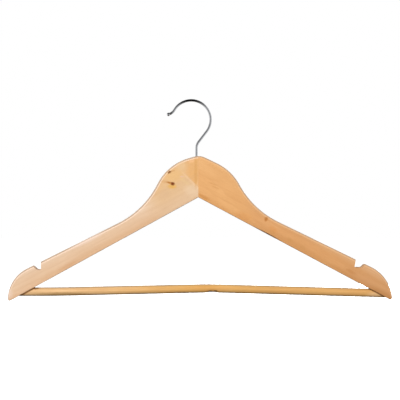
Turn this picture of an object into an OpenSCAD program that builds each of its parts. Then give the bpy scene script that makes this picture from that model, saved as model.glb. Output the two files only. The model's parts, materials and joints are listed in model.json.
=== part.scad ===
// Wooden clothes hanger with a swivelling wire hook, a trouser bar and a strap notch in each
// shoulder. Millimetres, +Z up, front facing -Y. The origin is the rail saddle: the point at
// the inside top of the hook that rests on the rail. The hook stays with the rail, and the
// wooden body turns under it about the shank.

/* [Hook] */
// Thickness of the hook's wire
wire_d = 2.8; // [2.4:0.1:3.2]
// Radius of the round of the hook, to the middle of the wire
hook_r = 22.5; // [20:0.5:25]
// Where the round ends on its open side, in degrees above level
hook_open_angle = 30; // [10:1:45]
// Lean of the straight run below the round, in degrees from upright
hook_lean = 37.5; // [34:0.5:42]
// Radius of the bend between that run and the shank
shank_bend_r = 13; // [10:0.5:16]
// How far the shank stands to the right of the saddle
shank_x = 6.1; // [4:0.1:8]
// Radius of the outward bend at the hook's open end
lip_bend_r = 10.4; // [8:0.1:12]
// How far the open end bends outward, in degrees
lip_turn = 48; // [30:1:60]
// Diameter of the small ball on the open end
ball_d = 4; // [3.4:0.1:5]
// Length of shank inside the wood
shank_grip = 30; // [24:1:34]
// Number of ring barbs that hold the shank in the wood
barb_count = 4; // [2:1:5]
// Height of a barb above the wire
barb_rise = 0.35; // [0.2:0.05:0.4]
// Room all round the shank in its bore
swivel_gap = 0.05; // [0.02:0.01:0.08]

/* [Body] */
// Height from the saddle down to the crown of the body
crown_drop = 63.3; // [60:0.1:66]
// Height of the body at its middle, crown to the underside
hub_depth = 47.8; // [47.6:0.1:52]
// Thickness of the wood
body_t = 12; // [12:0.5:16]
// How far the glued joint lies to the right of the shank
joint_offset = 2.2; // [1.5:0.1:2.6]
// Radius of the crown
crown_r = 18.3; // [16.5:0.1:22]
// Radius of the round shoulder of the hub
shoulder_r = 58; // [54:0.5:59]
// Radius of the hollow between the hub and the slope
neck_r = 103; // [95:1:104]
// Rounding of the upper edges
top_edge_r = 2; // [1:0.1:2.2]
// Rounding of the lower edges
low_edge_r = 1; // [0.5:0.1:1.5]
// Rounding of the arm's tip
tip_r = 2.4; // [2.3:0.05:2.5]
// Length of the interlocking fingers of the glued joint
finger_len = 10; // [8:0.5:12]

/* [Left arm] */
// Turn of the crown before the hub's flat, in degrees
left_crown_turn = 15.2; // [12:0.1:16]
// Length of the hub's flat
left_flat = 6; // [4:0.5:8]
// Turn of the hub's shoulder, in degrees
left_shoulder_turn = 48; // [45:0.1:49]
// Slope of the shoulder line, in degrees below level
left_slope = 26.5; // [26:0.1:27]
// Length of the shoulder line
left_slope_len = 117.5; // [114:0.5:120]
// Radius of the rounded arm end
left_nose_r = 40; // [38:0.5:42]
// Fall of the underside, in degrees below level
left_fall = 28.75; // [28.5:0.05:29]

/* [Right arm] */
// Turn of the crown before the hub's flat, in degrees
right_crown_turn = 25.5; // [22:0.1:25.6]
// Length of the hub's flat
right_flat = 15; // [13:0.5:16]
// Turn of the hub's shoulder, in degrees
right_shoulder_turn = 35.9; // [34:0.1:36]
// Slope of the shoulder line, in degrees below level
right_slope = 25.9; // [25.5:0.1:26.1]
// Length of the shoulder line
right_slope_len = 119; // [116:0.5:121]
// Radius of the rounded arm end
right_nose_r = 43.4; // [42:0.1:43.9]
// Fall of the underside, in degrees below level
right_fall = 28.1; // [28.05:0.05:28.3]

/* [Strap notches] */
// Distance of the top of a notch's wall from the joint
notch_reach = 182; // [174:0.5:183]
// Height of a notch's wall
notch_depth = 8.9; // [7:0.1:10]
// Length of the left notch's floor
left_notch_floor = 3.9; // [3.5:0.1:4.5]
// Rise of the ramp beyond the left notch's floor, in degrees
left_notch_ramp = 42; // [38:1:46]
// Lean of the left notch's wall over its floor, in degrees
left_notch_lean = 0; // [0:1:10]
// Length of the right notch's floor
right_notch_floor = 7.7; // [7:0.1:8]
// Rise of the ramp beyond the right notch's floor, in degrees
right_notch_ramp = 48; // [44:1:52]
// Lean of the right notch's wall over its floor, in degrees
right_notch_lean = 10; // [0:1:10]

/* [Trouser bar] */
// Diameter of the bar
bar_d = 10; // [8:0.1:10]
// Distance of the bar's slight knee to the right of the joint
knee_reach = 15; // [5:1:30]
// Height from the saddle down to the knee
knee_drop = 216.3; // [216:0.1:217]
// Fall of the bar to the left of the knee, in degrees
bar_fall_left = 1.27; // [1:0.01:1.4]
// Fall of the bar to the right of the knee, in degrees
bar_fall_right = 1.65; // [1.4:0.01:1.7]
// Distance from the joint at which the bar's left side runs out level
bar_level_reach = 165; // [155:1:180]
// Distance of the bar's left end from the joint
bar_left_reach = 212; // [211:0.5:213]
// Distance of the bar's right end from the joint
bar_right_reach = 217.5; // [217:0.5:218]
// Room all round the bar in its sockets
socket_gap = 0.05; // [0.02:0.01:0.1]

/* [Brads] */
// Diameter of a brad's nail
brad_d = 1.2; // [1:0.1:1.6]
// Diameter of a brad's head
brad_head_d = 2.2; // [2:0.1:2.6]
// Thickness of a brad's head
brad_head_t = 0.4; // [0.3:0.1:0.5]
// Length of a brad
brad_len = 10; // [8:0.5:10]
// Distance of a brad from the bar's end
brad_inset = 6; // [5:0.5:8]

/* [Hidden] */

$fn = 96;
facet_angle = 4.5;         // largest turn between two facets of the wood's outline
edge_steps = 4;            // facets in a quarter round of the wood's edges
tip_steps = 3;             // facets in half of the tip's rounding
nose_end = 84;             // heading, below level, at which the arm end meets the tip
barb_len = 2.4;
barb_rim = 0.3;
barb_pitch = 5;
barb_start = 7;            // depth of the first barb below the crown
point_len = 1.2;           // taper at the shank's buried end
seam_rise = 0.02;          // how far a seam between two stretches stands proud
far = 400;                 // longer than the object

wire_r = wire_d / 2;
bar_r = bar_d / 2;
half_t = body_t / 2;
body_x = shank_x + joint_offset;
crown_z = -crown_drop;
apex_z = crown_z - hub_depth;

// The shape of each arm, and a name for each of its entries
LEFT = [left_crown_turn, left_flat, left_shoulder_turn, left_slope, left_slope_len, left_nose_r, left_fall];
RIGHT = [right_crown_turn, right_flat, right_shoulder_turn, right_slope, right_slope_len, right_nose_r,
         right_fall];
function crown_turn(arm) = arm[0];
function flat_len(arm) = arm[1];
function shoulder_turn(arm) = arm[2];
function slope(arm) = arm[3];
function slope_len(arm) = arm[4];
function nose_r(arm) = arm[5];
function fall(arm) = arm[6];

// ---- paths in the upright plane -------------------------------------------------------------
// A place is [x, z, heading]. Heading 0 runs level towards +X, 90 straight down, -90 straight up.

// The place at the end of an arc: a positive turn bends downward, a negative one upward.
function arc_end(p, r, turn) =
    let (h = p[2] + turn, s = sign(turn))
    [p[0] + s * r * (sin(h) - sin(p[2])), p[1] + s * r * (cos(h) - cos(p[2])), h];

// The place at the end of a straight run.
function run_end(p, len) = [p[0] + len * cos(p[2]), p[1] - len * sin(p[2]), p[2]];

// The places along an arc, without its start.
function arc_places(p, r, turn) =
    let (n = ceil(abs(turn) / facet_angle))
    [for (i = [1:n]) arc_end(p, r, turn * i / n)];

// ---- outline of an arm, running outward from the joint ---------------------------------------

// Distances from the joint stand in for x here. The upper edge runs round the crown, along the
// hub's flat, round its shoulder, through the hollow neck, down the slope and round the arm end.

CROWN = [0, crown_z, 0];
function shoulder_start(arm) = run_end(arc_end(CROWN, crown_r, crown_turn(arm)), flat_len(arm));
function neck_start(arm) = arc_end(shoulder_start(arm), shoulder_r, shoulder_turn(arm));
function neck_turn(arm) = slope(arm) - neck_start(arm)[2];
function slope_start(arm) = arc_end(neck_start(arm), neck_r, neck_turn(arm));
function nose_start(arm) = run_end(slope_start(arm), slope_len(arm));
function nose_turn(arm) = nose_end - slope(arm);

// Height of the shoulder line at a distance from the joint
function slope_z(arm, reach) = slope_start(arm)[1] - (reach - slope_start(arm)[0]) * tan(slope(arm));

// Height of the underside at a distance from the joint
function underside_z(arm, reach) = apex_z - reach * tan(fall(arm));

function tip_turn(arm) = 180 + fall(arm) - nose_end;

// Where the tip's rounding starts, on the straight that follows the arm end's arc
function tip_start(arm) =
    let (
        p = arc_end(nose_start(arm), nose_r(arm), nose_turn(arm)),
        to_underside = (p[1] - underside_z(arm, p[0])) / (sin(p[2]) - cos(p[2]) * tan(fall(arm)))
    )
    run_end(p, to_underside - tip_r * tan(tip_turn(arm) / 2));

// The upper edge from the crown to where the tip's rounding starts
function top_places(arm) =
    concat(
        [CROWN],
        arc_places(CROWN, crown_r, crown_turn(arm)),
        [shoulder_start(arm)],
        arc_places(shoulder_start(arm), shoulder_r, shoulder_turn(arm)),
        arc_places(neck_start(arm), neck_r, neck_turn(arm)),
        [nose_start(arm)],
        arc_places(nose_start(arm), nose_r(arm), nose_turn(arm)),
        [tip_start(arm)]
    );

// The rounding of the tip, from the arm end (step 0) to the underside (step 2 * tip_steps)
function tip_place(arm, step) = arc_end(tip_start(arm), tip_r, tip_turn(arm) * step / (2 * tip_steps));

// Edge radius along half of the tip's rounding, which starts at r
function tip_edge_r(r, step) = r + ((top_edge_r + low_edge_r) / 2 - r) * step / tip_steps;

// The upper and the lower edge as [reach, z, edge radius], with the same number of points
function top_edge(arm) =
    concat(
        [for (p = top_places(arm)) [p[0], p[1], top_edge_r]],
        [for (i = [1:tip_steps])
            let (p = tip_place(arm, i)) [p[0], p[1], tip_edge_r(top_edge_r, i)]]
    );

function low_edge(arm) =
    let (squeeze = tip_place(arm, 2 * tip_steps)[0] / tip_start(arm)[0])
    concat(
        [for (p = top_places(arm)) [p[0] * squeeze, underside_z(arm, p[0] * squeeze), low_edge_r]],
        [for (i = [1:tip_steps])
            let (p = tip_place(arm, 2 * tip_steps - i)) [p[0], p[1], tip_edge_r(low_edge_r, i)]]
    );

// ---- the whole wooden body ---------------------------------------------------------------------

function reversed(list) = [for (i = [len(list) - 1:-1:0]) list[i]];
function without_first(list) = [for (i = [1:len(list) - 1]) list[i]];
function inner(list) = [for (i = [1:len(list) - 2]) list[i]];
function placed(edge, side) = [for (p = edge) [body_x + side * p[0], p[1], p[2]]];

// An edge of the body from the left tip to the right tip
function whole_edge(left, right) =
    concat(reversed(placed(left, -1)), without_first(placed(right, 1)));

// How far the outline draws in at a depth below the face, for an edge of radius r
function edge_inset(r, depth) = depth >= r ? 0 : r - sqrt(r * r - pow(r - depth, 2));

// The inward direction at a corner, long enough to draw both its edges in by 1
function mitre(before, here, after) =
    let (
        a = (here - before) / norm(here - before),
        b = (after - here) / norm(after - here),
        na = [a[1], -a[0]],
        nb = [b[1], -b[0]],
        middle = (na + nb) / norm(na + nb)
    )
    middle / (middle * na);

// Both arms as one piece, with rounded edges: rings of the outline from the front to the back,
// closed by a strip between the upper and the lower edge on each face.
module body_blank() {
    upper = whole_edge(top_edge(LEFT), top_edge(RIGHT));
    lower = whole_edge(low_edge(LEFT), low_edge(RIGHT));
    loop = concat(upper, reversed(inner(lower)));
    count = len(loop);
    last = len(upper) - 1;
    flat = [for (p = loop) [p[0], p[1]]];
    mitres = [for (i = [0:count - 1]) mitre(flat[(i + count - 1) % count], flat[i], flat[(i + 1) % count])];
    depths = [for (i = [0:edge_steps]) top_edge_r * (1 - cos(90 * i / edge_steps))];
    layers = concat([for (d = depths) [d - half_t, d]], reversed([for (d = depths) [half_t - d, d]]));
    rings = len(layers);
    points = [for (layer = layers, i = [0:count - 1])
        let (p = flat[i] + mitres[i] * edge_inset(loop[i][2], layer[1])) [p[0], layer[0], p[1]]];
    sides = [for (k = [0:rings - 2], i = [0:count - 1], half = [0, 1])
        let (a = k * count + i, b = k * count + (i + 1) % count)
        half == 0 ? [a, a + count, b + count] : [a, b + count, b]];
    strip = concat(
        [[0, 1, count - 1], [last - 1, last, last + 1]],
        [for (i = [1:last - 2]) [i, i + 1, count - i - 1, count - i]]
    );
    back = [for (face = strip) [for (v = reversed(face)) v + (rings - 1) * count]];
    polyhedron(points = points, faces = concat(strip, back, sides), convexity = 6);
}

// Everything to the left of the finger joint, which crosses the thickness in a zigzag. The left
// arm has the middle finger, wide enough for the shank's bore.
module left_of_joint() {
    a = finger_len / 2;
    translate([body_x, 0, -far])
        linear_extrude(far)
            polygon([[-far, -half_t - 1], [0, -half_t - 1], [0, -half_t], [-a, -half_t / 2], [a, 0],
                     [-a, half_t / 2], [0, half_t], [0, half_t + 1], [-far, half_t + 1]]);
}

// A strap notch, cut straight through the finished edge: a wall that may lean over the floor, a
// level floor and a rising ramp
module notch_cut(arm, side, floor_len, ramp, lean) {
    cut_rise = 1.6 * notch_depth;
    floor_z = slope_z(arm, notch_reach) - notch_depth;
    wall_foot = notch_reach - notch_depth * tan(lean);
    ramp_foot = wall_foot + floor_len;
    outline = [
        [wall_foot, floor_z],
        [ramp_foot, floor_z],
        [ramp_foot + cut_rise * cos(ramp), floor_z + cut_rise * sin(ramp)],
        [wall_foot + cut_rise * tan(lean), floor_z + cut_rise]
    ];
    rotate([90, 0, 0])
        linear_extrude(2 * body_t, center = true)
            polygon([for (p = outline) [body_x + side * p[0], p[1]]]);
}

// ---- the hook ------------------------------------------------------------------------------------

lean_drop = hook_r * sin(hook_lean);
lean_len = (hook_r * cos(hook_lean) - shank_x - shank_bend_r * (1 - cos(hook_lean))) / sin(hook_lean);
round_z = wire_r - hook_r;
bend_z = round_z - lean_drop - lean_len * cos(hook_lean) - shank_bend_r * sin(hook_lean);

BEND = [shank_x, bend_z, -90];
LEAN = arc_end(BEND, shank_bend_r, hook_lean);
ROUND = run_end(LEAN, lean_len);
round_turn = -(180 + hook_lean - hook_open_angle);
LIP = arc_end(ROUND, hook_r, round_turn);
BALL = arc_end(LIP, lip_bend_r, lip_turn);

// A bent stretch of wire that starts at a place
module wire_arc(p, r, turn) {
    s = sign(turn);
    start_angle = turn < 0 ? -90 - p[2] : 90 - p[2] - turn;
    translate([p[0] - s * r * sin(p[2]), 0, p[1] - s * r * cos(p[2])])
        rotate([90, 0, 0])
            rotate([0, 0, start_angle])
                rotate_extrude(angle = abs(turn))
                    translate([r, 0])
                        circle(wire_r);
}

// A straight stretch of wire that starts at a place
module wire_run(p, len) {
    translate([p[0], 0, p[1]])
        rotate([0, 90 + p[2], 0])
            cylinder(h = len, r = wire_r);
}

// The seam between two stretches, a touch thicker than the wire so that it joins them
module wire_seam(p) {
    translate([p[0], 0, p[1]])
        sphere(wire_r + seam_rise);
}

// Half section of the buried shank, drawn out by a gap for its bore: a straight wire with ring
// barbs, flat on their upper side, and a tapered end
function shank_section(gap, top) =
    let (
        r = wire_r + gap,
        tip = -shank_grip - gap,
        barb = [[r, gap], [r + barb_rise, gap], [r + barb_rise, -barb_rim - gap], [r, -barb_len - gap]]
    )
    concat(
        [[0, top], [r, top]],
        [for (i = [0:barb_count - 1], corner = barb) corner - [0, barb_start + i * barb_pitch]],
        [[r, tip + point_len], [r - point_len / 2, tip], [0, tip]]
    );

module shank_solid(gap, top) {
    translate([shank_x, 0, crown_z])
        rotate_extrude()
            polygon(shank_section(gap, top));
}

module hook() {
    color("gainsboro") {
        shank_solid(0, bend_z - crown_z);
        wire_arc(BEND, shank_bend_r, hook_lean);
        wire_run(LEAN, lean_len);
        wire_arc(ROUND, hook_r, round_turn);
        wire_arc(LIP, lip_bend_r, lip_turn);
        for (p = [BEND, LEAN, ROUND, LIP])
            wire_seam(p);
        translate([BALL[0], 0, BALL[1]])
            sphere(d = ball_d);
    }
}

// ---- the trouser bar -------------------------------------------------------------------------------

knee_x = body_x + knee_reach;
knee_z = -knee_drop;
level_x = body_x - bar_level_reach;
level_z = knee_z - (knee_x - level_x) * tan(bar_fall_left);
right_end_x = body_x + bar_right_reach;

// The bar's axis as [x, z], from its left end to its right end
BAR = [
    [body_x - bar_left_reach, level_z],
    [level_x, level_z],
    [knee_x, knee_z],
    [right_end_x, knee_z - (right_end_x - knee_x) * tan(bar_fall_right)]
];

// A round stick of radius r from one place on the axis to another, and extra beyond it
module bar_stretch(from, to, r, extra = 0) {
    run = to - from;
    translate([from[0], 0, from[1]])
        rotate([0, 90 - atan2(run[1], run[0]), 0])
            cylinder(h = norm(run) + extra, r = r);
}

// The blind socket for one end of the bar
module socket_cut(side) {
    from = side < 0 ? BAR[1] : BAR[2];
    to = side < 0 ? BAR[0] : BAR[3];
    bar_stretch(from, to, bar_r + socket_gap, socket_gap);
}

module trouser_bar() {
    color("#d9ab6c")
        difference() {
            union() {
                for (i = [0:2])
                    bar_stretch(BAR[i], BAR[i + 1], bar_r);
                for (bend = [BAR[1], BAR[2]])
                    translate([bend[0], 0, bend[1]])
                        sphere(bar_r + seam_rise);
            }
            brad_solid(-1);
            brad_solid(1);
        }
}

// ---- the brads -------------------------------------------------------------------------------------

// A brad driven in from the back, through the socket's wall and the bar
module brad_solid(side) {
    x = (side < 0 ? BAR[0][0] : BAR[3][0]) - side * brad_inset;
    translate([x, half_t, lookup(x, BAR)])
        rotate([90, 0, 0]) {
            cylinder(h = brad_head_t, d = brad_head_d);
            cylinder(h = brad_len, d = brad_d);
        }
}

module left_brad() {
    color("silver") brad_solid(-1);
}

module right_brad() {
    color("silver") brad_solid(1);
}

// ---- the arms --------------------------------------------------------------------------------------

module left_arm() {
    color("#e9c8a0")
        difference() {
            intersection() {
                body_blank();
                left_of_joint();
            }
            notch_cut(LEFT, -1, left_notch_floor, left_notch_ramp, left_notch_lean);
            socket_cut(-1);
            brad_solid(-1);
            shank_solid(swivel_gap, barb_start);
        }
}

module right_arm() {
    color("#e3ac70")
        difference() {
            body_blank();
            left_of_joint();
            notch_cut(RIGHT, 1, right_notch_floor, right_notch_ramp, right_notch_lean);
            socket_cut(1);
            brad_solid(1);
        }
}

hook();
left_arm();
right_arm();
trouser_bar();
left_brad();
right_brad();
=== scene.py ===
"""A wooden clothes hanger with a chrome swivel hook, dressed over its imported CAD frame.

Lengths are millimetres in the shape functions and metres on the Blender objects. Outlines lie
in the upright plane, as (x, z), and the front of the hanger faces -Y.
"""
import json
import math

import bmesh
import bpy
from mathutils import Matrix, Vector


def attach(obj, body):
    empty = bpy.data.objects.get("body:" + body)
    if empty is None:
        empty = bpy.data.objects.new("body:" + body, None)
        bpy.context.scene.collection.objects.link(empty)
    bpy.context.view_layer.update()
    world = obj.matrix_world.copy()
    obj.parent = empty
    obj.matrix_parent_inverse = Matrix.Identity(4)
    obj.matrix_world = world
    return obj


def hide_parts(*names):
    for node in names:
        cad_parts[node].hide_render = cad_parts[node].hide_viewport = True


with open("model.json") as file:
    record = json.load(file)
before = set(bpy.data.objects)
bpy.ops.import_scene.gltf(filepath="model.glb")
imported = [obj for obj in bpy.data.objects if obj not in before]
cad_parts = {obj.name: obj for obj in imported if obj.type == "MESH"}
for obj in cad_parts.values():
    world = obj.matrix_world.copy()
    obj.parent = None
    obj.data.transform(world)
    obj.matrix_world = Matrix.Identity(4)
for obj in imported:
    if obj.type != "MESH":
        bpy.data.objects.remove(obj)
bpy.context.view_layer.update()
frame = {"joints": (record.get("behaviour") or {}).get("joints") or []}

MM = 0.001

# ---- sizes, as in the CAD model (mm) -----------------------------------------------------------

SWIVEL = Vector(frame["joints"][0]["pos_m"]) / MM      # where the shank enters the crown
SHANK_X = SWIVEL.x
CROWN_Z = SWIVEL.z
JOINT_X = SHANK_X + 2.2                                # the glued joint between the arms
APEX_Z = CROWN_Z - 47.8                                # underside of the body at the joint

WIRE_R = 1.4
HOOK_R = 22.5                                          # of the round, to the middle of the wire
HOOK_LEAN = 37.5                                       # degrees from upright, of the straight run
HOOK_OPEN = 30                                         # degrees above level, where the round ends
SHANK_BEND_R = 13
LIP_BEND_R = 10.4
LIP_TURN = 48                                          # degrees that the open end bends outward
BALL_R = 2
BALL_NECK_TURN = 7                                     # the last of the lip, run straight into the ball
SHANK_GRIP = 30                                        # length of shank inside the wood
SHANK_FOOT = ((0, 0.5), (0.25, 0.85), (1.2, WIRE_R))   # its pointed foot, as (height, radius)
BARB_COUNT = 4
BARB_START = 7                                         # depth of the first barb below the crown
BARB_PITCH = 5
BARB_RISE = 0.35
# A barb from its thin end up, as (height over its top, rise over the wire)
BARB_SHAPE = ((-2.4, 0), (-0.35, BARB_RISE), (-0.05, BARB_RISE), (0, 0))
BORE_GAP = 0.05                                        # room round the barbs
BORE_FOOT = 0.1                                        # and below the shank

HALF_T = 6                                             # half the thickness of the wood
CROWN_R = 18.3
SHOULDER_R = 58
NECK_R = 103                                           # of the hollow between hub and slope
TOP_EDGE_R = 2.8                                       # rounding of the upper edges
NOSE_EDGE_R = 1.8                                      # what the upper rounding tapers to at the tip
LOW_EDGE_R = 1
NOTCH_EDGE_R = 0.35
TIP_R = 2.4
NOSE_END = 84                                          # heading at which the nose meets the tip
FINGER = 5                                             # half the length of the joint's fingers
SEAM_GAP = 0.03                                        # half the hairline between the arms
FACE_RIM = 0.25                                        # flat rim that keeps the face's shading flat
RELIEF = 0.03                                          # how far the wood lies inside the CAD outline
WIRE_RELIEF = 0.005                                    # and the wire inside the CAD wire

NOTCH_REACH = 182                                      # from the joint to the top of a notch's wall
NOTCH_DEPTH = 8.9
NOTCH_SOFT = (0.3, 0.6, 0.9)                           # of the wall's top, its foot and the ramp's foot

BAR_R = 5
BAR_FALL_LEFT = 1.27                                   # degrees, left of its knee
BAR_FALL_RIGHT = 1.65                                  # and right of it
KNEE_X = JOINT_X + 15
KNEE_Z = -216.3
LEVEL_X = JOINT_X - 165                                # left of here the bar runs level
BAR_LEFT_X = JOINT_X - 212
BAR_RIGHT_X = JOINT_X + 217.5
BAR_BEND_SPAN = 20                                     # half the length of each gentle bend
BAR_CHAMFER = 0.6
HOLLOW_X = KNEE_X + 0.8                                # the hollow left by the knot under the knee
HOLLOW_HALF = 6.2
HOLLOW_DEPTH = 0.85
SOCKET_GAP = 0.12
SOCKET_RUN = 45                                        # from the socket's floor to well outside the arm

BRAD_INSET = 6                                         # from the bar's end
BRAD_HOLE_R = 1.2
BRAD_HOLE_DEPTH = 0.45
# From a brad's point to its head, as (radius, depth below the back face)
BRAD_SHAPE = ((0.05, 10), (0.6, 8.8), (0.6, 0.4), (1.0, 0.38), (1.08, 0.3),
              (1.08, 0.15), (1.0, 0.08), (0.7, 0.03), (0.2, 0.01))

# Each arm's upper edge, crown to nose, the fall of its underside in degrees, its notch, and how
# far below its underside the painted shadow on the bar is at its full strength.
LEFT = {
    "side": -1, "crown_turn": 15.2, "flat": 6, "shoulder_turn": 48, "slope": 26.5,
    "slope_len": 117.5, "nose_r": 40, "fall": 28.75,
    "notch_floor": 3.9, "notch_ramp": 42, "notch_lean": 0, "notch_lip": 0.4,
    "socket_shadow_depth": 0.9,
}
RIGHT = {
    "side": 1, "crown_turn": 25.5, "flat": 15, "shoulder_turn": 35.9, "slope": 25.9,
    "slope_len": 119, "nose_r": 43.4, "fall": 28.1,
    "notch_floor": 7.7, "notch_ramp": 48, "notch_lean": 10, "notch_lip": 1.7,
    "socket_shadow_depth": 0.1,
}

# How finely the shapes are drawn. Longest step along an arc, in degrees:
ARC_STEP = 1.5
NECK_STEP = 1
TIP_STEP = 8
WIRE_BEND_STEP = 3
WIRE_ROUND_STEP = 2.5
BAR_BEND_STEP = 0.2
# Longest step along a straight run, in mm:
FLAT_STEP = 4
SLOPE_STEP = 8
BAR_STEP = 6
# Number of parts in the underside, in a quarter round of an edge and in the ball:
UNDERSIDE_PARTS = 24
EDGE_PARTS = 7
BALL_PARTS = 16
# Number of sides round each rod and hole:
WIRE_SIDES = 32
BAR_SIDES = 64
SOCKET_SIDES = 96
BORE_SIDES = 64
BRAD_SIDES = 40
BRAD_HOLE_SIDES = 48


def sin(degrees):
    return math.sin(math.radians(degrees))


def cos(degrees):
    return math.cos(math.radians(degrees))


def tan(degrees):
    return math.tan(math.radians(degrees))


# ---- camera, light and floor -------------------------------------------------------------------

# In metres
VIEW_CENTRE = (0.0102, -0.1141)       # middle of the picture, x and z
VIEW_WIDTH = 0.4635                   # width of the picture at the hanger
VIEW_DISTANCE = 1.9
FLOOR_Z = -0.30
FLOOR_HALF = 6.0


def add_camera():
    data = bpy.data.cameras.new("camera")
    data.sensor_width = 36
    data.lens = data.sensor_width * VIEW_DISTANCE / VIEW_WIDTH
    data.clip_end = 50
    camera = bpy.data.objects.new("camera", data)
    camera.location = (VIEW_CENTRE[0], -VIEW_DISTANCE, VIEW_CENTRE[1])
    camera.rotation_euler = (math.radians(90), 0, 0)
    bpy.context.scene.collection.objects.link(camera)
    bpy.context.scene.camera = camera


def add_area_light(name, place, size, power):
    """A soft white square lamp that faces the middle of the hanger."""
    data = bpy.data.lights.new(name, "AREA")
    data.shape = "SQUARE"
    data.size = size
    data.energy = power
    lamp = bpy.data.objects.new(name, data)
    lamp.location = place
    aim = Vector((VIEW_CENTRE[0], 0, VIEW_CENTRE[1])) - lamp.location
    lamp.rotation_euler = aim.to_track_quat("-Z", "Y").to_euler()
    lamp.visible_glossy = False
    bpy.context.scene.collection.objects.link(lamp)


def chrome_surroundings(graph, direction):
    """What the wire mirrors: bright at the sides, dark above, below and in front.

    The upper left is dimmer, and a trace of light comes from behind.
    """
    sideways = graph.remap(graph.math("ABSOLUTE", direction[0]), 0.1, 0.6, 0.02, 0.95)
    level_band = graph.remap(graph.math("ABSOLUTE", direction[2]), 0.5, 0.9, 1.0, 0.1)
    leftward = graph.remap(direction[0], 0.0, -0.3)
    upward = graph.remap(direction[2], 0.05, 0.35)
    upper_left = graph.math("MULTIPLY", graph.math("MULTIPLY", leftward, upward), 0.5)
    seen = graph.math("MULTIPLY", sideways, level_band)
    seen = graph.math("MULTIPLY", seen, graph.math("SUBTRACT", 1.0, upper_left))
    behind = graph.remap(direction[1], 0.6, 0.95, 0.0, 0.15)
    return graph.math("ADD", seen, behind)


def add_world():
    """White to the eye, a dim room to light by, and a studio of its own for the chrome."""
    world = bpy.data.worlds.new("studio")
    bpy.context.scene.world = world
    world.use_nodes = True
    graph = Graph(world.node_tree)
    graph.clear()
    path = graph.add("ShaderNodeLightPath")
    direction = graph.split(graph.add("ShaderNodeTexCoord").outputs["Generated"])
    room = graph.remap(direction[2], -0.8, 0.9, 0.18, 0.42)
    level = graph.blend(path.outputs["Is Glossy Ray"], room, chrome_surroundings(graph, direction))
    level = graph.blend(path.outputs["Is Camera Ray"], level, 1.0)
    shade = graph.add("ShaderNodeBackground", {"Color": (1, 1, 1, 1), "Strength": level})
    out = graph.add("ShaderNodeOutputWorld", {"Surface": shade.outputs[0]})
    out.is_active_output = True


def add_floor():
    """A pale floor below the hanging hanger. It takes shadows and throws no light back."""
    mesh = bpy.data.meshes.new("floor")
    plan = [(-1, -1), (1, -1), (1, 1), (-1, 1)]
    corners = [(x * FLOOR_HALF, y * FLOOR_HALF, FLOOR_Z) for x, y in plan]
    mesh.from_pydata(corners, [], [(0, 1, 2, 3)])
    floor = bpy.data.objects.new("floor", mesh)
    bpy.context.scene.collection.objects.link(floor)
    material = bpy.data.materials.new("floor_paint")
    material.use_nodes = True
    shader = material.node_tree.nodes["Principled BSDF"]
    shader.inputs["Base Color"].default_value = (0.92, 0.92, 0.92, 1)
    shader.inputs["Roughness"].default_value = 0.9
    shader.inputs["Emission Color"].default_value = (1, 1, 1, 1)
    shader.inputs["Emission Strength"].default_value = 0.72
    mesh.materials.append(material)
    floor.visible_diffuse = False
    floor.visible_glossy = False


# ---- a small language for shader nodes ---------------------------------------------------------

class Graph:
    """Adds nodes to a tree. A value handed to an input may be a number, a colour or a socket."""

    def __init__(self, tree):
        self.tree = tree

    def clear(self):
        self.tree.nodes.clear()

    def add(self, kind, inputs=None, **settings):
        node = self.tree.nodes.new(kind)
        for key, value in settings.items():
            setattr(node, key, value)
        for key, value in (inputs or {}).items():
            self.feed(node.inputs[key], value)
        return node

    def feed(self, socket, value):
        if isinstance(value, bpy.types.NodeSocket):
            self.tree.links.new(value, socket)
        else:
            socket.default_value = value

    def math(self, operation, a, b=0.0):
        return self.add("ShaderNodeMath", {0: a, 1: b}, operation=operation).outputs[0]

    def split(self, vector):
        return self.add("ShaderNodeSeparateXYZ", {0: vector}).outputs

    def remap(self, value, low, high, to_low=0.0, to_high=1.0):
        """value from low..high to to_low..to_high, held at the ends, with an eased middle."""
        node = self.add("ShaderNodeMapRange", {0: value, 1: low, 2: high, 3: to_low, 4: to_high},
                        interpolation_type="SMOOTHSTEP", clamp=True)
        return node.outputs[0]

    def blend(self, factor, a, b):
        """Between two numbers."""
        return self.add("ShaderNodeMix", {0: factor, 2: a, 3: b}, data_type="FLOAT").outputs[0]

    def mix(self, factor, a, b):
        """Between two colours."""
        return self.add("ShaderNodeMix", {0: factor, 6: a, 7: b}, data_type="RGBA").outputs[2]

    def noise(self, vector, scale, detail=2.0, roughness=0.5, distortion=0.0):
        node = self.add("ShaderNodeTexNoise", {"Vector": vector, "Scale": scale, "Detail": detail,
                                               "Roughness": roughness, "Distortion": distortion})
        return node.outputs[0]

    def vector_math(self, operation, *vectors):
        return self.add("ShaderNodeVectorMath", dict(enumerate(vectors)), operation=operation).outputs

    def scaled(self, vector, x, y, z):
        return self.vector_math("MULTIPLY", vector, (x, y, z))[0]

    def moved(self, vector, x, y, z):
        return self.vector_math("ADD", vector, (x, y, z))[0]

    def length(self, vector):
        return self.vector_math("LENGTH", vector)["Value"]

    def turned(self, vector, angle):
        """The vector turned about the Y axis."""
        node = self.add("ShaderNodeVectorRotate", {"Vector": vector, "Angle": math.radians(angle)},
                        rotation_type="Y_AXIS")
        return node.outputs[0]


def new_material(name):
    """An empty node material, and the graph to fill it with."""
    material = bpy.data.materials.new(name)
    material.use_nodes = True
    graph = Graph(material.node_tree)
    graph.clear()
    return material, graph


def finish_material(graph, paint, rough, bump, uniform):
    """The shader and the output. uniform holds the values that are the same all over."""
    shader = graph.add("ShaderNodeBsdfPrincipled", {"Base Color": paint, "Roughness": rough,
                                                    "Normal": bump.outputs[0]})
    for name, value in uniform.items():
        shader.inputs[name].default_value = value
    graph.add("ShaderNodeOutputMaterial", {"Surface": shader.outputs[0]})


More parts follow.
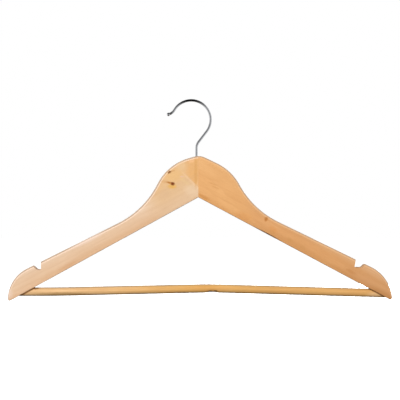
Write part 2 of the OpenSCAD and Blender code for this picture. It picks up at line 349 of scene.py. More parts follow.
def colour(red, green, blue):
    """A linear colour from the 0 to 255 values that a screen shows."""
    def linear(v):
        v /= 255
        return v / 12.92 if v <= 0.04045 else ((v + 0.055) / 1.055) ** 2.4
    return (linear(red), linear(green), linear(blue), 1)


# ---- wood --------------------------------------------------------------------------------------

# Cells of noise to a metre: along, through and across the grain.
RING_WANDER_CELLS = (12, 60, 50)
RING_WAVER_CELLS = (60, 300, 260)
DRIFT_CELLS = (22, 60, 90)
STREAK_CELLS = (24, 620, 640)
FIBRE_CELLS = (150, 3000, 3000)
PORE_CELLS = (300, 4600, 4600)
RAGGED_CELLS = 700                    # of a spot's rim, in any direction
RAGGEDNESS = 0.8                      # full sway of the rim, in half widths of the spot
RING_WAVER = 0.8                      # mm, the fine waver of a growth ring

# The arms and the bar are cut from different stretches of the grain, this many metres along.
RIGHT_STRETCH = 0.7
BAR_STRETCH = 1.3

HEART_FALL = 44.43                    # degrees: the heartwood's border falls to the right
HEART_Z = -91.02                      # mm: its height where x is 0
SOCKET_SHADOW_FADE = 1.4                      # mm over which the painted shadow at a socket fades out


def spot(graph, place, x, z, width, height, tilt):
    """0 in the middle of an ellipse and 1 on its rim, which is a little ragged. Sizes in mm."""
    local = graph.turned(graph.moved(place, -x * MM, 0, -z * MM), tilt)
    local = graph.scaled(local, 2 / (width * MM), 0, 2 / (height * MM))
    ragged = graph.math("SUBTRACT", graph.noise(place, RAGGED_CELLS, 2), 0.5)
    return graph.math("ADD", graph.length(local), graph.math("MULTIPLY", ragged, RAGGEDNESS))


def growth_rings(graph, along, look):
    """The late wood of rings about a pith line outside the board and not quite parallel to it."""
    wander = graph.noise(graph.scaled(along, *RING_WANDER_CELLS), 1.0, 3, 0.55)
    waver = graph.noise(graph.scaled(along, *RING_WAVER_CELLS), 1.0, 2)
    pith_y, pith_z = look["pith"]
    from_pith = graph.moved(graph.turned(along, look["pith_tilt"]), 0, pith_y * MM, pith_z * MM)
    radius = graph.length(graph.scaled(from_pith, 0, 1, 1))
    radius = graph.math("ADD", radius, graph.math("MULTIPLY", wander, look["wander"] * MM))
    radius = graph.math("ADD", radius, graph.math("MULTIPLY", waver, RING_WAVER * MM))
    phase = graph.math("FRACT", graph.math("DIVIDE", radius, look["ring"] * MM))
    return graph.math("MULTIPLY", graph.remap(phase, 0.25, 0.92), graph.remap(phase, 1.0, 0.93))


def lay_spots(graph, place, paint, spots):
    """Soft patches of tint over the paint, each (x, z, width, height, tilt, tint, strength)."""
    for x, z, width, height, tilt, tint, strength in spots:
        near = spot(graph, place, x, z, width, height, tilt)
        paint = graph.mix(graph.remap(near, 1.3, 0.4, 0, strength), paint, tint)
    return paint


def lay_knots(graph, place, paint, dent, knots):
    """Dark, slightly sunken knots, each (x, z, width, height, tilt, tint, strength)."""
    for x, z, width, height, tilt, tint, strength in knots:
        near = spot(graph, place, x, z, width, height, tilt)
        paint = graph.mix(graph.remap(near, 1.5, 0.5, 0, strength), paint, tint)
        dent = graph.math("SUBTRACT", dent, graph.remap(near, 1.1, 0.7, 0, strength))
    return paint, dent


def lay_edges(graph, paint, look):
    """Painted light and shade by which way the wood faces.

    The rounding next to the front and back gets a painted highlight, the rest of it painted shade,
    and what faces the ground painted shade.
    """
    _, depth, upward = graph.split(graph.add("ShaderNodeTexCoord").outputs["Normal"])
    turned_away = graph.math("SUBTRACT", 1.0, graph.math("ABSOLUTE", depth))
    above = graph.remap(upward, -0.3, -0.03)
    # Painted highlight on the rounding next to the front and back
    rim = graph.math("MULTIPLY", above, graph.remap(turned_away, *look["rim_from"]))
    # Painted shade on the rest of the upper rounding, weaker on the flat of the sawn edge
    edge = graph.math("MULTIPLY", above, graph.remap(turned_away, *look["edge_from"]))
    edge = graph.math("MULTIPLY", edge, graph.remap(turned_away, 0.35, 0.85, 1.0, look["sawn_strength"]))
    # Painted shade on what faces the ground
    under = graph.remap(upward, *look["under_from"])
    for mask, tint in ((rim, "rim"), (edge, "edge"), (under, "under")):
        strength = graph.math("MULTIPLY", mask, look[tint + "_strength"])
        paint = graph.mix(strength, paint, look[tint])
    return paint


def wood_figure(graph, along, look):
    """The fields that colour, gloss and relief share: rings, drift of tone, streaks, fibres, pores."""
    pore = graph.noise(graph.scaled(along, *PORE_CELLS), 1.0, 1, 0.4)
    return {
        "late": growth_rings(graph, along, look),
        "drift": graph.noise(graph.scaled(along, *DRIFT_CELLS), 1.0, 3, 0.5, 0.4),
        "streak": graph.noise(graph.scaled(along, *STREAK_CELLS), 1.0, 4, 0.62),
        "fibre": graph.noise(graph.scaled(along, *FIBRE_CELLS), 1.0, 3, 0.6),
        "pore": graph.remap(pore, 0.66, 0.76),
    }


def lay_figure(graph, paint, figure, look):
    """The grain over the clear wood: tone that drifts, late wood, streaks and fibres."""
    late_tone = look["streak"]
    rings = graph.math("MULTIPLY", figure["late"], look["ring_strength"])
    streaks = graph.remap(figure["streak"], 0.5, 0.8, 0, look["streak_strength"])
    paint = graph.mix(graph.remap(figure["drift"], 0.35, 0.7, 0, 0.22), paint, late_tone)
    paint = graph.mix(graph.remap(figure["drift"], 0.45, 0.2, 0, 0.25), paint, look["pale"])
    paint = graph.mix(rings, paint, late_tone)
    paint = graph.mix(streaks, paint, late_tone)
    return graph.mix(graph.remap(figure["fibre"], 0.4, 0.75, 0, 0.16), paint, late_tone)


def wood_material(name, look, ground, spots, knots, shadowed_by=()):
    """Satin-lacquered wood.

    ground takes the graph and the place on the object, and gives the place along the grain, in
    metres, and the colour of the clear wood there. The last argument lists the arms that the wood
    enters, and each puts a painted shadow on it there.
    """
    material, graph = new_material(name)
    place = graph.add("ShaderNodeTexCoord").outputs["Object"]
    along, paint = ground(graph, place)
    figure = wood_figure(graph, along, look)
    fibre, late, pore = figure["fibre"], figure["late"], figure["pore"]

    paint = lay_figure(graph, paint, figure, look)
    paint = lay_edges(graph, paint, look)
    paint = lay_spots(graph, place, paint, spots)
    paint = graph.mix(graph.math("MULTIPLY", pore, 0.25), paint, look["pore"])
    # A painted shadow on the bar just below each arm that it enters
    for arm in shadowed_by:
        paint = graph.mix(socket_shadow(graph, place, arm), paint, look["socket_shadow_tint"])
    paint, dent = lay_knots(graph, place, paint, graph.math("MULTIPLY", pore, -0.6), knots)

    height = graph.math("ADD", graph.math("MULTIPLY", fibre, 0.5), graph.math("MULTIPLY", late, -0.2))
    height = graph.math("ADD", height, dent)
    bump = graph.add("ShaderNodeBump", {"Strength": 0.3, "Distance": 0.00008, "Height": height})
    rough = graph.math("ADD", figure["streak"], graph.math("MULTIPLY", pore, 0.5))
    rough = graph.remap(rough, 0.35, 0.9, 0.42, 0.6)
    lacquer = {"IOR": 1.48, "Coat Weight": 0.25, "Coat Roughness": 0.3}
    finish_material(graph, paint, rough, bump, lacquer)
    return material


def along_arm(graph, place, arm):
    """The place in metres from the apex: outward along the arm's underside, back, and up from it."""
    local = graph.moved(place, -JOINT_X * MM, 0, -APEX_Z * MM)
    return graph.turned(graph.scaled(local, arm["side"], 1, 1), -arm["fall"])


def arm_tones(graph, height, tones, steps):
    """The clear wood's colour by height above the underside: three tones and two steps in mm."""
    paint = graph.mix(graph.remap(height, steps[0] * MM, steps[1] * MM), tones[0], tones[1])
    return graph.mix(graph.remap(height, steps[2] * MM, steps[3] * MM), paint, tones[2])


def lay_heartwood(graph, place, paint):
    """Honey-coloured heartwood by the joint, above a slanting border with a pale rim."""
    x, _, z = graph.split(place)
    across = graph.math("MULTIPLY", x, sin(HEART_FALL))
    upward = graph.math("MULTIPLY", graph.math("SUBTRACT", z, HEART_Z * MM), cos(HEART_FALL))
    rise = graph.math("ADD", across, upward)
    rim = graph.math("MULTIPLY", graph.remap(rise, -0.0032, -0.001), graph.remap(rise, 0.0006, -0.0006))
    rim = graph.math("MULTIPLY", rim, graph.remap(x, -0.014, -0.008, 0, 0.6))
    paint = graph.mix(rim, paint, colour(247, 206, 160))
    ragged = graph.math("MULTIPLY", graph.noise(place, 130, 3), 0.009)
    near_joint = graph.remap(graph.math("ADD", x, ragged), -0.006, 0.004)
    heart = graph.math("MULTIPLY", graph.remap(rise, -0.0005, 0.0012), near_joint)
    return graph.mix(heart, paint, colour(235, 179, 113))


def left_ground(graph, place):
    """Pale, pinkish wood that turns tan in the hub, with honey-coloured heartwood by the joint."""
    along = along_arm(graph, place, LEFT)
    reach, _, height = graph.split(along)
    arm_colours = [colour(225, 183, 143), colour(230, 195, 161), colour(237, 208, 180)]
    hub_colours = [colour(229, 194, 156), colour(229, 191, 146), colour(233, 190, 138)]
    arm = arm_tones(graph, height, arm_colours, (1, 11, 12, 20))
    hub = arm_tones(graph, height, hub_colours, (6, 20, 20, 36))
    paint = graph.mix(graph.remap(reach, 0.036, 0.066), hub, arm)
    return along, lay_heartwood(graph, place, paint)


def right_ground(graph, place):
    """Honey-coloured wood that darkens from its upper edge to its lower, and towards the tip."""
    along = along_arm(graph, place, RIGHT)
    reach, _, height = graph.split(along)
    arm_colours = [colour(212, 153, 95), colour(225, 165, 107), colour(226, 175, 124)]
    hub_colours = [colour(226, 168, 106), colour(234, 177, 116), colour(234, 179, 119)]
    tip_colours = [colour(194, 136, 82), colour(219, 163, 110), colour(224, 173, 125)]
    arm = arm_tones(graph, height, arm_colours, (1, 9, 13, 21))
    hub = arm_tones(graph, height, hub_colours, (1, 7, 20, 36))
    tip = arm_tones(graph, height, tip_colours, (1, 9, 12, 20))
    paint = graph.mix(graph.remap(reach, 0.044, 0.078), hub, arm)
    paint = graph.mix(graph.remap(reach, 0.165, 0.235), paint, tip)
    return graph.moved(along, RIGHT_STRETCH, 0, 0), paint


def socket_shadow(graph, place, arm):
    """Painted shadow, strong on the bar where it enters an arm, and gone a little way below the arm's
    underside.
    """
    height = graph.split(along_arm(graph, place, arm))[2]
    full = -arm["socket_shadow_depth"]
    return graph.remap(height, (full - SOCKET_SHADOW_FADE) * MM, full * MM, 0, 0.85)


def bar_ground(graph, place):
    """A dowel, pale and pinkish at its left end, yellow-brown at its knee and orange at its right."""
    x = graph.split(place)[0]
    paint = graph.mix(graph.remap(x, -0.16, 0.01), colour(242, 199, 146), colour(231, 178, 102))
    paint = graph.mix(graph.remap(x, 0.03, 0.16), paint, colour(233, 180, 110))
    return graph.moved(place, BAR_STRETCH, 0, -KNEE_Z * MM), paint


# How each wood looks: its tones, its painted highlight and painted shade by facing, each with the
# facing at which it starts and is full, its growth rings, with pith, wander and ring in mm, and for
# the bar the painted shadow where it enters the arms.
PALE = {
    "pale": colour(240, 212, 184), "streak": colour(212, 168, 126), "pore": colour(172, 126, 86),
    "rim": colour(255, 226, 202), "rim_from": (0.0003, 0.008), "rim_strength": 0.65,
    "edge": colour(190, 161, 134), "edge_from": (0.06, 0.12), "edge_strength": 0.88,
    "sawn_strength": 0.5,
    "under": colour(202, 150, 98), "under_from": (-0.3, -0.8), "under_strength": 0.7,
    "pith": (34, -58), "pith_tilt": 1.6, "wander": 10, "ring": 5.5,
    "ring_strength": 0.16, "streak_strength": 0.3,
}
HONEY = {
    "pale": colour(240, 190, 134), "streak": colour(204, 142, 84), "pore": colour(158, 98, 50),
    "rim": colour(240, 190, 138), "rim_from": (0.0003, 0.008), "rim_strength": 0.4,
    "edge": colour(196, 162, 132), "edge_from": (0.08, 0.16), "edge_strength": 0.7,
    "sawn_strength": 0.5,
    "under": colour(172, 114, 66), "under_from": (-0.3, -0.8), "under_strength": 0.8,
    "pith": (26, -64), "pith_tilt": -2.2, "wander": 15, "ring": 7,
    "ring_strength": 0.2, "streak_strength": 0.3,
}
DOWEL = {
    "pale": colour(246, 206, 150), "streak": colour(196, 136, 74), "pore": colour(138, 88, 42),
    "rim": colour(238, 196, 150), "rim_from": (0.0, 1.0), "rim_strength": 0.0,
    "edge": colour(164, 144, 116), "edge_from": (0.22, 0.6), "edge_strength": 0.8,
    "sawn_strength": 0.9,
    "under": colour(150, 118, 74), "under_from": (-0.5, -0.92), "under_strength": 0.8,
    "pith": (6, 9), "pith_tilt": 0.5, "wander": 5, "ring": 3.2,
    "ring_strength": 0.22, "streak_strength": 0.35, "socket_shadow_tint": colour(122, 70, 14),
}

# Spots and knots, each (x, z, width, height, tilt, tint, strength), with lengths in mm.
LEFT_SPOTS = [
    (-20, -86, 24, 17, 20, colour(233, 187, 126), 0.75),
    (-12, -74, 12, 12, 20, colour(236, 198, 150), 0.5),
    (-30, -93, 10, 3.4, -12, colour(216, 164, 108), 0.55),
    (-22, -98.4, 11, 6, 0, colour(230, 177, 92), 0.9),
    (-31, -108, 15, 12, 30, colour(220, 180, 140), 0.5),
    (0.5, -69.2, 8, 4, 12, colour(246, 193, 142), 0.6),
    (5.2, -82, 4.0, 42, 0, colour(214, 158, 92), 0.55),
    (0, -103, 18, 13, -25, colour(234, 202, 166), 0.6),
    (-10.6, -87, 4.5, 1.8, -4, colour(238, 196, 180), 0.5),
    (-7, -93, 14, 4, -38, colour(231, 196, 142), 0.4),
    (-21.5, -80.6, 7, 2.2, 15, colour(206, 152, 92), 0.6),
    (-120, -160.5, 44, 7, 26.5, colour(240, 215, 198), 0.5),
    (-142.7, -190.4, 26, 5, 28.7, colour(212, 162, 118), 0.5),
    (-209.5, -223, 9, 12, 0, colour(238, 210, 190), 0.5),
    # Painted shade on the floor and on the ramp of the notch
    (-175.9, -194.6, 7, 1.2, 0, colour(156, 120, 88), 0.55),
    (-180.2, -192.6, 7, 1.2, -42, colour(156, 120, 88), 0.7),
]
LEFT_KNOTS = [
    (-25.1, -81.9, 4.4, 2.5, 35, colour(134, 80, 20), 0.95),
    (-24.8, -94.2, 7.2, 2.1, -16, colour(182, 112, 30), 0.85),
    (-21.4, -95.4, 4.2, 3.8, 0, colour(122, 54, 0), 1.0),
]
RIGHT_SPOTS = [
    (25, -95.5, 13, 2.2, -22, colour(212, 150, 88), 0.5),
    (28, -99.5, 11, 2.2, -22, colour(210, 148, 86), 0.5),
    (24, -90.5, 14, 2.4, -14, colour(218, 158, 96), 0.4),
    (14.5, -110.5, 17, 4.6, -28, colour(204, 140, 74), 0.65),
    (26, -112, 14, 7, -28, colour(222, 164, 104), 0.4),
    (93.5, -151, 11, 4.5, -36, colour(206, 144, 80), 0.5),
    (114.5, -160.5, 9, 5, -42, colour(206, 148, 86), 0.45),
    (128.5, -168.5, 8, 5, -40, colour(206, 148, 88), 0.4),
    (64, -133, 16, 8, -30, colour(232, 170, 104), 0.5),
    (60, -133.5, 22, 9, -28, colour(210, 144, 82), 0.5),
    (95, -147.5, 13, 6, -32, colour(220, 148, 80), 0.5),
    (89.5, -153.8, 32, 2.0, -28.1, colour(112, 74, 42), 0.85),
    (185, -197, 16, 4, -30, colour(192, 126, 66), 0.5),
    (200, -206, 34, 14, -28, colour(216, 158, 106), 0.5),
    # Painted shade on the lower rounding where the bar goes into the arm
    (214.5, -221, 24, 1.6, -28.1, colour(112, 66, 24), 0.8),
    # Painted shade on the floor and on the ramp of the notch
    (192.6, -192.0, 9, 1.2, 0, colour(150, 112, 82), 0.5),
    (198.6, -190.3, 5, 1.2, 48, colour(150, 112, 82), 0.55),
]
RIGHT_KNOTS = [(86.6, -136.3, 3.7, 4.8, -20, colour(184, 112, 40), 0.8)]
BAR_SPOTS = [
    (24, -219.2, 14, 5, 0, colour(150, 98, 44), 0.6),
    (-179.7, -220, 40, 12, 0, colour(228, 186, 134), 0.4),
    (-146, -222.8, 66, 4.6, 0, colour(168, 128, 72), 0.6),
    (214, -223.4, 22, 6, 0, colour(238, 192, 140), 0.75),
    (22, -216.5, 58, 8, 0, colour(222, 160, 84), 0.5),
    # Painted shadow on the bar next to where the left arm's underside meets it
    (-177.6, -215.9, 8, 2.8, 18, colour(120, 74, 24), 0.75),
]
BAR_KNOTS = [
    (22.2, -220.0, 5.2, 2.4, 0, colour(70, 42, 20), 0.9),
    (28.0, -219.2, 4.2, 2.0, 0, colour(92, 56, 26), 0.7),
]


# ---- metal -------------------------------------------------------------------------------------

def chrome_material():
    """Bright plating on drawn wire: faint scuffs along the wire and a trace of haze."""
    material, graph = new_material("hook_chrome")
    place = graph.add("ShaderNodeTexCoord").outputs["Object"]
    haze = graph.noise(place, 160, 3, 0.6)
    scuff = graph.noise(graph.scaled(place, 900, 2600, 900), 1.0, 2)
    tint = graph.mix(graph.remap(haze, 0.35, 0.7), (0.60, 0.61, 0.63, 1), (0.52, 0.53, 0.55, 1))
    rough = graph.math("ADD", haze, graph.math("MULTIPLY", scuff, 0.4))
    rough = graph.remap(rough, 0.5, 1.0, 0.07, 0.2)
    bump = graph.add("ShaderNodeBump", {"Strength": 0.12, "Distance": 0.00003, "Height": scuff})
    finish_material(graph, tint, rough, bump, {"Metallic": 1.0})
    return material


def brad_material():
    """Plain wire nail: dull steel with the die's marks on its head."""
    material, graph = new_material("brad_steel")
    place = graph.add("ShaderNodeTexCoord").outputs["Object"]
    mark = graph.noise(graph.scaled(place, 2200, 2200, 700), 1.0, 3, 0.6)
    tint = graph.mix(graph.remap(mark, 0.4, 0.7), (0.46, 0.45, 0.44, 1), (0.26, 0.24, 0.22, 1))
    rough = graph.remap(mark, 0.3, 0.7, 0.32, 0.55)
    bump = graph.add("ShaderNodeBump", {"Strength": 0.4, "Distance": 0.00005, "Height": mark})
    finish_material(graph, tint, rough, bump, {"Metallic": 1.0})
    return material


# ---- paths in the upright plane ----------------------------------------------------------------
# A place is (x, z, heading). Heading 0 runs level towards +X, 90 straight down, -90 straight up.


def arc_end(place, radius, turn):
    """The place at the end of an arc: a positive turn bends downward, a negative one upward."""
    x, z, heading = place
    after = heading + turn
    way = math.copysign(radius, turn)
    return (x + way * (sin(after) - sin(heading)), z + way * (cos(after) - cos(heading)), after)


def run_end(place, length):
    """The place at the end of a straight run."""
    x, z, heading = place
    return (x + length * cos(heading), z - length * sin(heading), heading)


def arc_places(place, radius, turn, step=ARC_STEP):
    """The places along an arc, without its start."""
    count = math.ceil(abs(turn) / step)
    return [arc_end(place, radius, turn * i / count) for i in range(1, count + 1)]


def run_places(place, length, step):
    """The places along a straight run, without its start."""
    count = math.ceil(length / step)
    return [run_end(place, length * i / count) for i in range(1, count + 1)]


# ---- meshes ------------------------------------------------------------------------------------

SHARP_ANGLE = 26                      # degrees: corners turned more than this aren't shaded smooth


def make_object(name, mesh_data):
    """A smooth-shaded object from a bmesh in millimetres, sharp only at real corners."""
    bmesh.ops.scale(mesh_data, vec=(MM, MM, MM), verts=mesh_data.verts)
    bmesh.ops.recalc_face_normals(mesh_data, faces=mesh_data.faces)
    mesh = bpy.data.meshes.new(name)
    mesh_data.to_mesh(mesh)
    mesh_data.free()
    piece = bpy.data.objects.new(name, mesh)
    bpy.context.scene.collection.objects.link(piece)
    shade(piece)
    return piece


def shade(piece):
    """Smooth shading, sharp only at real corners."""
    mesh = piece.data
    mesh.polygons.foreach_set("use_smooth", [True] * len(mesh.polygons))
    mesh.set_sharp_from_angle(angle=math.radians(SHARP_ANGLE))
    mesh.update()


def skin(rings):
    """A closed bmesh over rings of points, each ring joined to the next and both ends capped."""
    data = bmesh.new()
    rows = [[data.verts.new(p) for p in ring] for ring in rings]
    for row, following in zip(rows, rows[1:]):
        for i in range(len(row)):
            j = (i + 1) % len(row)
            data.faces.new((row[i], row[j], following[j], following[i]))
    data.faces.new(rows[0])
    data.faces.new(list(reversed(rows[-1])))
    return data


def rod(places, radii, sides, shift=None):
    """A round rod along places in the upright plane, closed at both ends, as a bmesh.

    shift, if given, maps a place's x and an angle round the rod (0 at the front, 90 on top) to
    the distance that the surface is drawn out there.
    """
    rings = []
    for (x, z, heading), radius in zip(places, radii):
        across = Vector((sin(heading), 0, cos(heading)))
        ring = []
        for i in range(sides):
            angle = 360 * i / sides
            way = Vector((0, -cos(angle), 0)) + across * sin(angle)
            reach = radius + (shift(x, angle) if shift else 0)
            ring.append(Vector((x, 0, z)) + way * reach)
        rings.append(ring)
    return skin(rings)


def cut(piece, tool, operation="DIFFERENCE"):
    """Cuts piece with tool and deletes the tool."""
    modifier = piece.modifiers.new("cut", "BOOLEAN")
    modifier.operation = operation
    modifier.solver = "EXACT"
    modifier.object = tool
    bpy.context.view_layer.update()
    evaluated = piece.evaluated_get(bpy.context.evaluated_depsgraph_get())
    mesh = bpy.data.meshes.new_from_object(evaluated)
    piece.modifiers.clear()
    old = piece.data
    piece.data = mesh
    bpy.data.meshes.remove(old)
    bpy.data.objects.remove(tool)


# ---- the wooden body ---------------------------------------------------------------------------

def between(start, end, share):
    return start + (end - start) * share


def underside_z(arm, reach):
    return APEX_Z - reach * tan(arm["fall"])


def arm_top(arm):
    """The upper edge, crown to tip, as corners (reach, z, edge radius after it, softening)."""
    places = [(0.0, CROWN_Z, 0.0)]
    places += arc_places(places[-1], CROWN_R, arm["crown_turn"])
    places += run_places(places[-1], arm["flat"], FLAT_STEP)
    places += arc_places(places[-1], SHOULDER_R, arm["shoulder_turn"])
    places += arc_places(places[-1], NECK_R, arm["slope"] - places[-1][2], NECK_STEP)
    slope_start = places[-1]
    notch_run = (NOTCH_REACH - slope_start[0]) / cos(arm["slope"])
    places += run_places(slope_start, notch_run, SLOPE_STEP)[:-1]
    outline = [(x, z, TOP_EDGE_R, 0) for x, z, _ in places]
    outline += notch_corners(arm, run_end(slope_start, notch_run))
    nose_start = run_end(slope_start, arm["slope_len"])
    outline.append((nose_start[0], nose_start[1], TOP_EDGE_R, 0))
    nose = arc_places(nose_start, arm["nose_r"], NOSE_END - arm["slope"])
    for i, (x, z, _) in enumerate(nose, 1):
        outline.append((x, z, between(TOP_EDGE_R, NOSE_EDGE_R, i / len(nose)), 0))
    return outline, nose[-1]


def notch_corners(arm, top):
    """The strap notch: the wall, which may lean over the floor, and a ramp up to the lip."""
    floor_z = top[1] - NOTCH_DEPTH
    wall_foot = NOTCH_REACH - NOTCH_DEPTH * tan(arm["notch_lean"])
    ramp_start = wall_foot + arm["notch_floor"]
    slope, ramp = tan(arm["slope"]), tan(arm["notch_ramp"])
    lip = (NOTCH_DEPTH + slope * NOTCH_REACH + ramp * ramp_start) / (slope + ramp)
    lip_z = top[1] - (lip - NOTCH_REACH) * slope
    return [(NOTCH_REACH, top[1], NOTCH_EDGE_R, NOTCH_SOFT[0]),
            (wall_foot, floor_z, NOTCH_EDGE_R, NOTCH_SOFT[1]),
            (ramp_start, floor_z, NOTCH_EDGE_R, NOTCH_SOFT[2]),
            (lip, lip_z, TOP_EDGE_R, arm["notch_lip"])]


def arm_tip(arm, nose_end):
    """The underside, and the rounded tip in place of the corner where the nose would meet it."""
    x, z, heading = nose_end
    turn = 180 + arm["fall"] - heading
    run = (z - underside_z(arm, x)) / (sin(heading) - cos(heading) * tan(arm["fall"]))
    start = run_end(nose_end, run - TIP_R * tan(turn / 2))
    tip = arc_places(start, TIP_R, turn, TIP_STEP)
    outline = [(start[0], start[1], NOSE_EDGE_R, 0)]
    for i, (tip_x, tip_z, _) in enumerate(tip, 1):
        outline.append((tip_x, tip_z, between(NOSE_EDGE_R, LOW_EDGE_R, i / len(tip)), 0))
    first = tip[-1][0]
    for i in range(1, UNDERSIDE_PARTS):
        reach = first * (1 - i / UNDERSIDE_PARTS)
        outline.append((reach, underside_z(arm, reach), LOW_EDGE_R, 0))
    return outline


def arm_outline(arm):
    """Crown to tip to just short of the apex, with x as the distance outward from the joint."""
    top, nose_end = arm_top(arm)
    return top + arm_tip(arm, nose_end)


def whole_outline():
    """The body's outline, clockwise from the front, as (x, z, edge radius after, softening)."""
    right = [(JOINT_X + u, z, r, s) for u, z, r, s in arm_outline(RIGHT)]
    mirrored = [(JOINT_X - u, z, r, s) for u, z, r, s in arm_outline(LEFT)]
    apex = [(JOINT_X, APEX_Z, LOW_EDGE_R, 0)]
    left = []
    for i in range(len(mirrored) - 1, 0, -1):
        x, z, _, soft = mirrored[i]
        left.append((x, z, mirrored[i - 1][2], soft))
    return right + apex + left


def edge_inset(radius, depth):
    """How far a rounded edge draws in at a depth below the face."""
    if depth >= radius:
        return 0.0
    return radius - math.sqrt(radius ** 2 - (radius - depth) ** 2)


def drawn_in(outline, depth, extra=0.0):
    """The outline at a depth below the face: every side moved inward by its own rounding."""
    count = len(outline)
    ring = []
    for i, (x, z, radius, soft) in enumerate(outline):
        last_x, last_z, last_radius, _ = outline[i - 1]
        next_x, next_z, _, _ = outline[(i + 1) % count]
        before = Vector((x - last_x, z - last_z)).normalized()
        after = Vector((next_x - x, next_z - z)).normalized()
        inset_before = edge_inset(last_radius, depth) + extra + RELIEF
        inset_after = edge_inset(radius, depth) + extra + RELIEF
        corner = Vector((x, z)) + corner_shift(before, after, inset_before, inset_after)
        if soft:
            start, end = corner - before * soft, corner + after * soft
            ring += [start, start * 0.25 + corner * 0.5 + end * 0.25, end]
        else:
            ring.append(corner)
    return ring


NEARLY_STRAIGHT = 0.02                # sine of the turn below which a corner counts as straight


def corner_shift(before, after, inset_before, inset_after):
    """How a corner moves when the sides before and after it move inward by their insets."""
    in_before = Vector((before.y, -before.x))
    in_after = Vector((after.y, -after.x))
    spread = in_before.x * in_after.y - in_before.y * in_after.x
    if abs(spread) < NEARLY_STRAIGHT:
        middle = (in_before + in_after).normalized()
        return middle * ((inset_before + inset_after) / 2 / middle.dot(in_before))
    return Vector((inset_before * in_after.y - inset_after * in_before.y,
                   inset_after * in_before.x - inset_before * in_after.x)) / spread


def body_blank():
    """Both arms in one, with rounded edges and notches, before the joint and the holes."""
    outline = whole_outline()
    depths = [TOP_EDGE_R * (1 - cos(90 * i / EDGE_PARTS)) for i in range(EDGE_PARTS + 1)]
    front = [(-HALF_T, drawn_in(outline, 0, extra=FACE_RIM))]
    front += [(depth - HALF_T, drawn_in(outline, depth)) for depth in depths]
    layers = front + [(-y, ring) for y, ring in reversed(front)]
    rings = [[Vector((p.x, y, p.y)) for p in ring] for y, ring in layers]
    return make_object("body_blank", skin(rings))


def joint_cutter(shift):
    """Everything left of the zigzag finger joint, moved to the right by shift."""
    over = HALF_T + 2
    past_tip, past_underside, past_crown = 300, 250, 30
    zigzag = [(0, -over), (0, -HALF_T), (-FINGER, -HALF_T / 2), (FINGER, 0), (-FINGER, HALF_T / 2),
              (0, HALF_T), (0, over)]
    plan = [(-past_tip, -over)] + [(x + shift, y) for x, y in zigzag] + [(-past_tip, over)]
    rings = [[Vector((JOINT_X + x, y, z)) for x, y in plan]
             for z in (CROWN_Z - past_underside, CROWN_Z + past_crown)]
    return make_object("joint_cutter", skin(rings))


def bar_z(x):
    """Height of the bar's axis, as if its two bends were sharp."""
    if x > KNEE_X:
        return KNEE_Z - (x - KNEE_X) * tan(BAR_FALL_RIGHT)
    return KNEE_Z - (KNEE_X - max(x, LEVEL_X)) * tan(BAR_FALL_LEFT)


def bar_end_x(side):
    return BAR_LEFT_X if side < 0 else BAR_RIGHT_X


def socket_cutter(side):
    """The blind hole for one end of the bar."""
    end = bar_end_x(side) + side * SOCKET_GAP
    start = end - side * SOCKET_RUN
    heading = BAR_FALL_RIGHT if side > 0 else 0
    places = [(start, bar_z(start), heading), (end, bar_z(end), heading)]
    return make_object("socket_cutter", rod(places, [BAR_R + SOCKET_GAP] * 2, SOCKET_SIDES))


def shank_cutter():
    """The bore for the shank, wide enough for its barbs."""
    above = 5
    places = [(SHANK_X, CROWN_Z - SHANK_GRIP - BORE_FOOT, -90), (SHANK_X, CROWN_Z + above, -90)]
    bore_r = WIRE_R + BARB_RISE + BORE_GAP
    return make_object("shank_cutter", rod(places, [bore_r] * 2, BORE_SIDES))


def lathe_along_y(x, z, profile, sides):
    """A turned solid about an axis along Y, from (radius, y) points, as a bmesh."""
    rings = [[Vector((x + r * cos(360 * i / sides), y, z + r * sin(360 * i / sides)))
              for i in range(sides)] for r, y in profile]
    return skin(rings)


def brad_place(side):
    """x and z of a brad, on the bar's axis."""
    x = bar_end_x(side) - side * BRAD_INSET
    return x, bar_z(x)


def brad_cutter(side):
    """The hole for a brad's head."""
    above = 1
    profile = [(BRAD_HOLE_R, HALF_T - BRAD_HOLE_DEPTH), (BRAD_HOLE_R, HALF_T + above)]
    return make_object("brad_hole", lathe_along_y(*brad_place(side), profile, BRAD_HOLE_SIDES))


def build_arms():
    """The two arms, split at the finger joint and bored for the bar and the brads.

    The shank's bore lies wholly in the left arm.
    """
    arms = {}
    for name, side, operation in (("left_arm", -1, "INTERSECT"), ("right_arm", 1, "DIFFERENCE")):
        arm = body_blank()
        arm.name = name + "_wood"
        arm.data.name = arm.name
        cut(arm, joint_cutter(side * SEAM_GAP), operation)
        cut(arm, socket_cutter(side))
        if side < 0:
            cut(arm, shank_cutter())
        cut(arm, brad_cutter(side))
        shade(arm)
        arms[name] = arm
    return arms


# ---- the hook, the bar and the brads -----------------------------------------------------------

def ball_profile(distance):
    """Radius of the ball at a distance back from its far side."""
    inside = BALL_R ** 2 - (distance - BALL_R) ** 2
    return math.sqrt(max(inside, 0.0))


def shank_rings():
    """The buried shank from its foot up, with its ring barbs, as (place, radius)."""
    foot = CROWN_Z - SHANK_GRIP
    shape = [(foot + height, radius) for height, radius in SHANK_FOOT]
    for i in reversed(range(BARB_COUNT)):
        barb = CROWN_Z - BARB_START - BARB_PITCH * i
        shape += [(barb + height, WIRE_R + rise) for height, rise in BARB_SHAPE]
    return [((SHANK_X, z, -90), radius) for z, radius in shape]


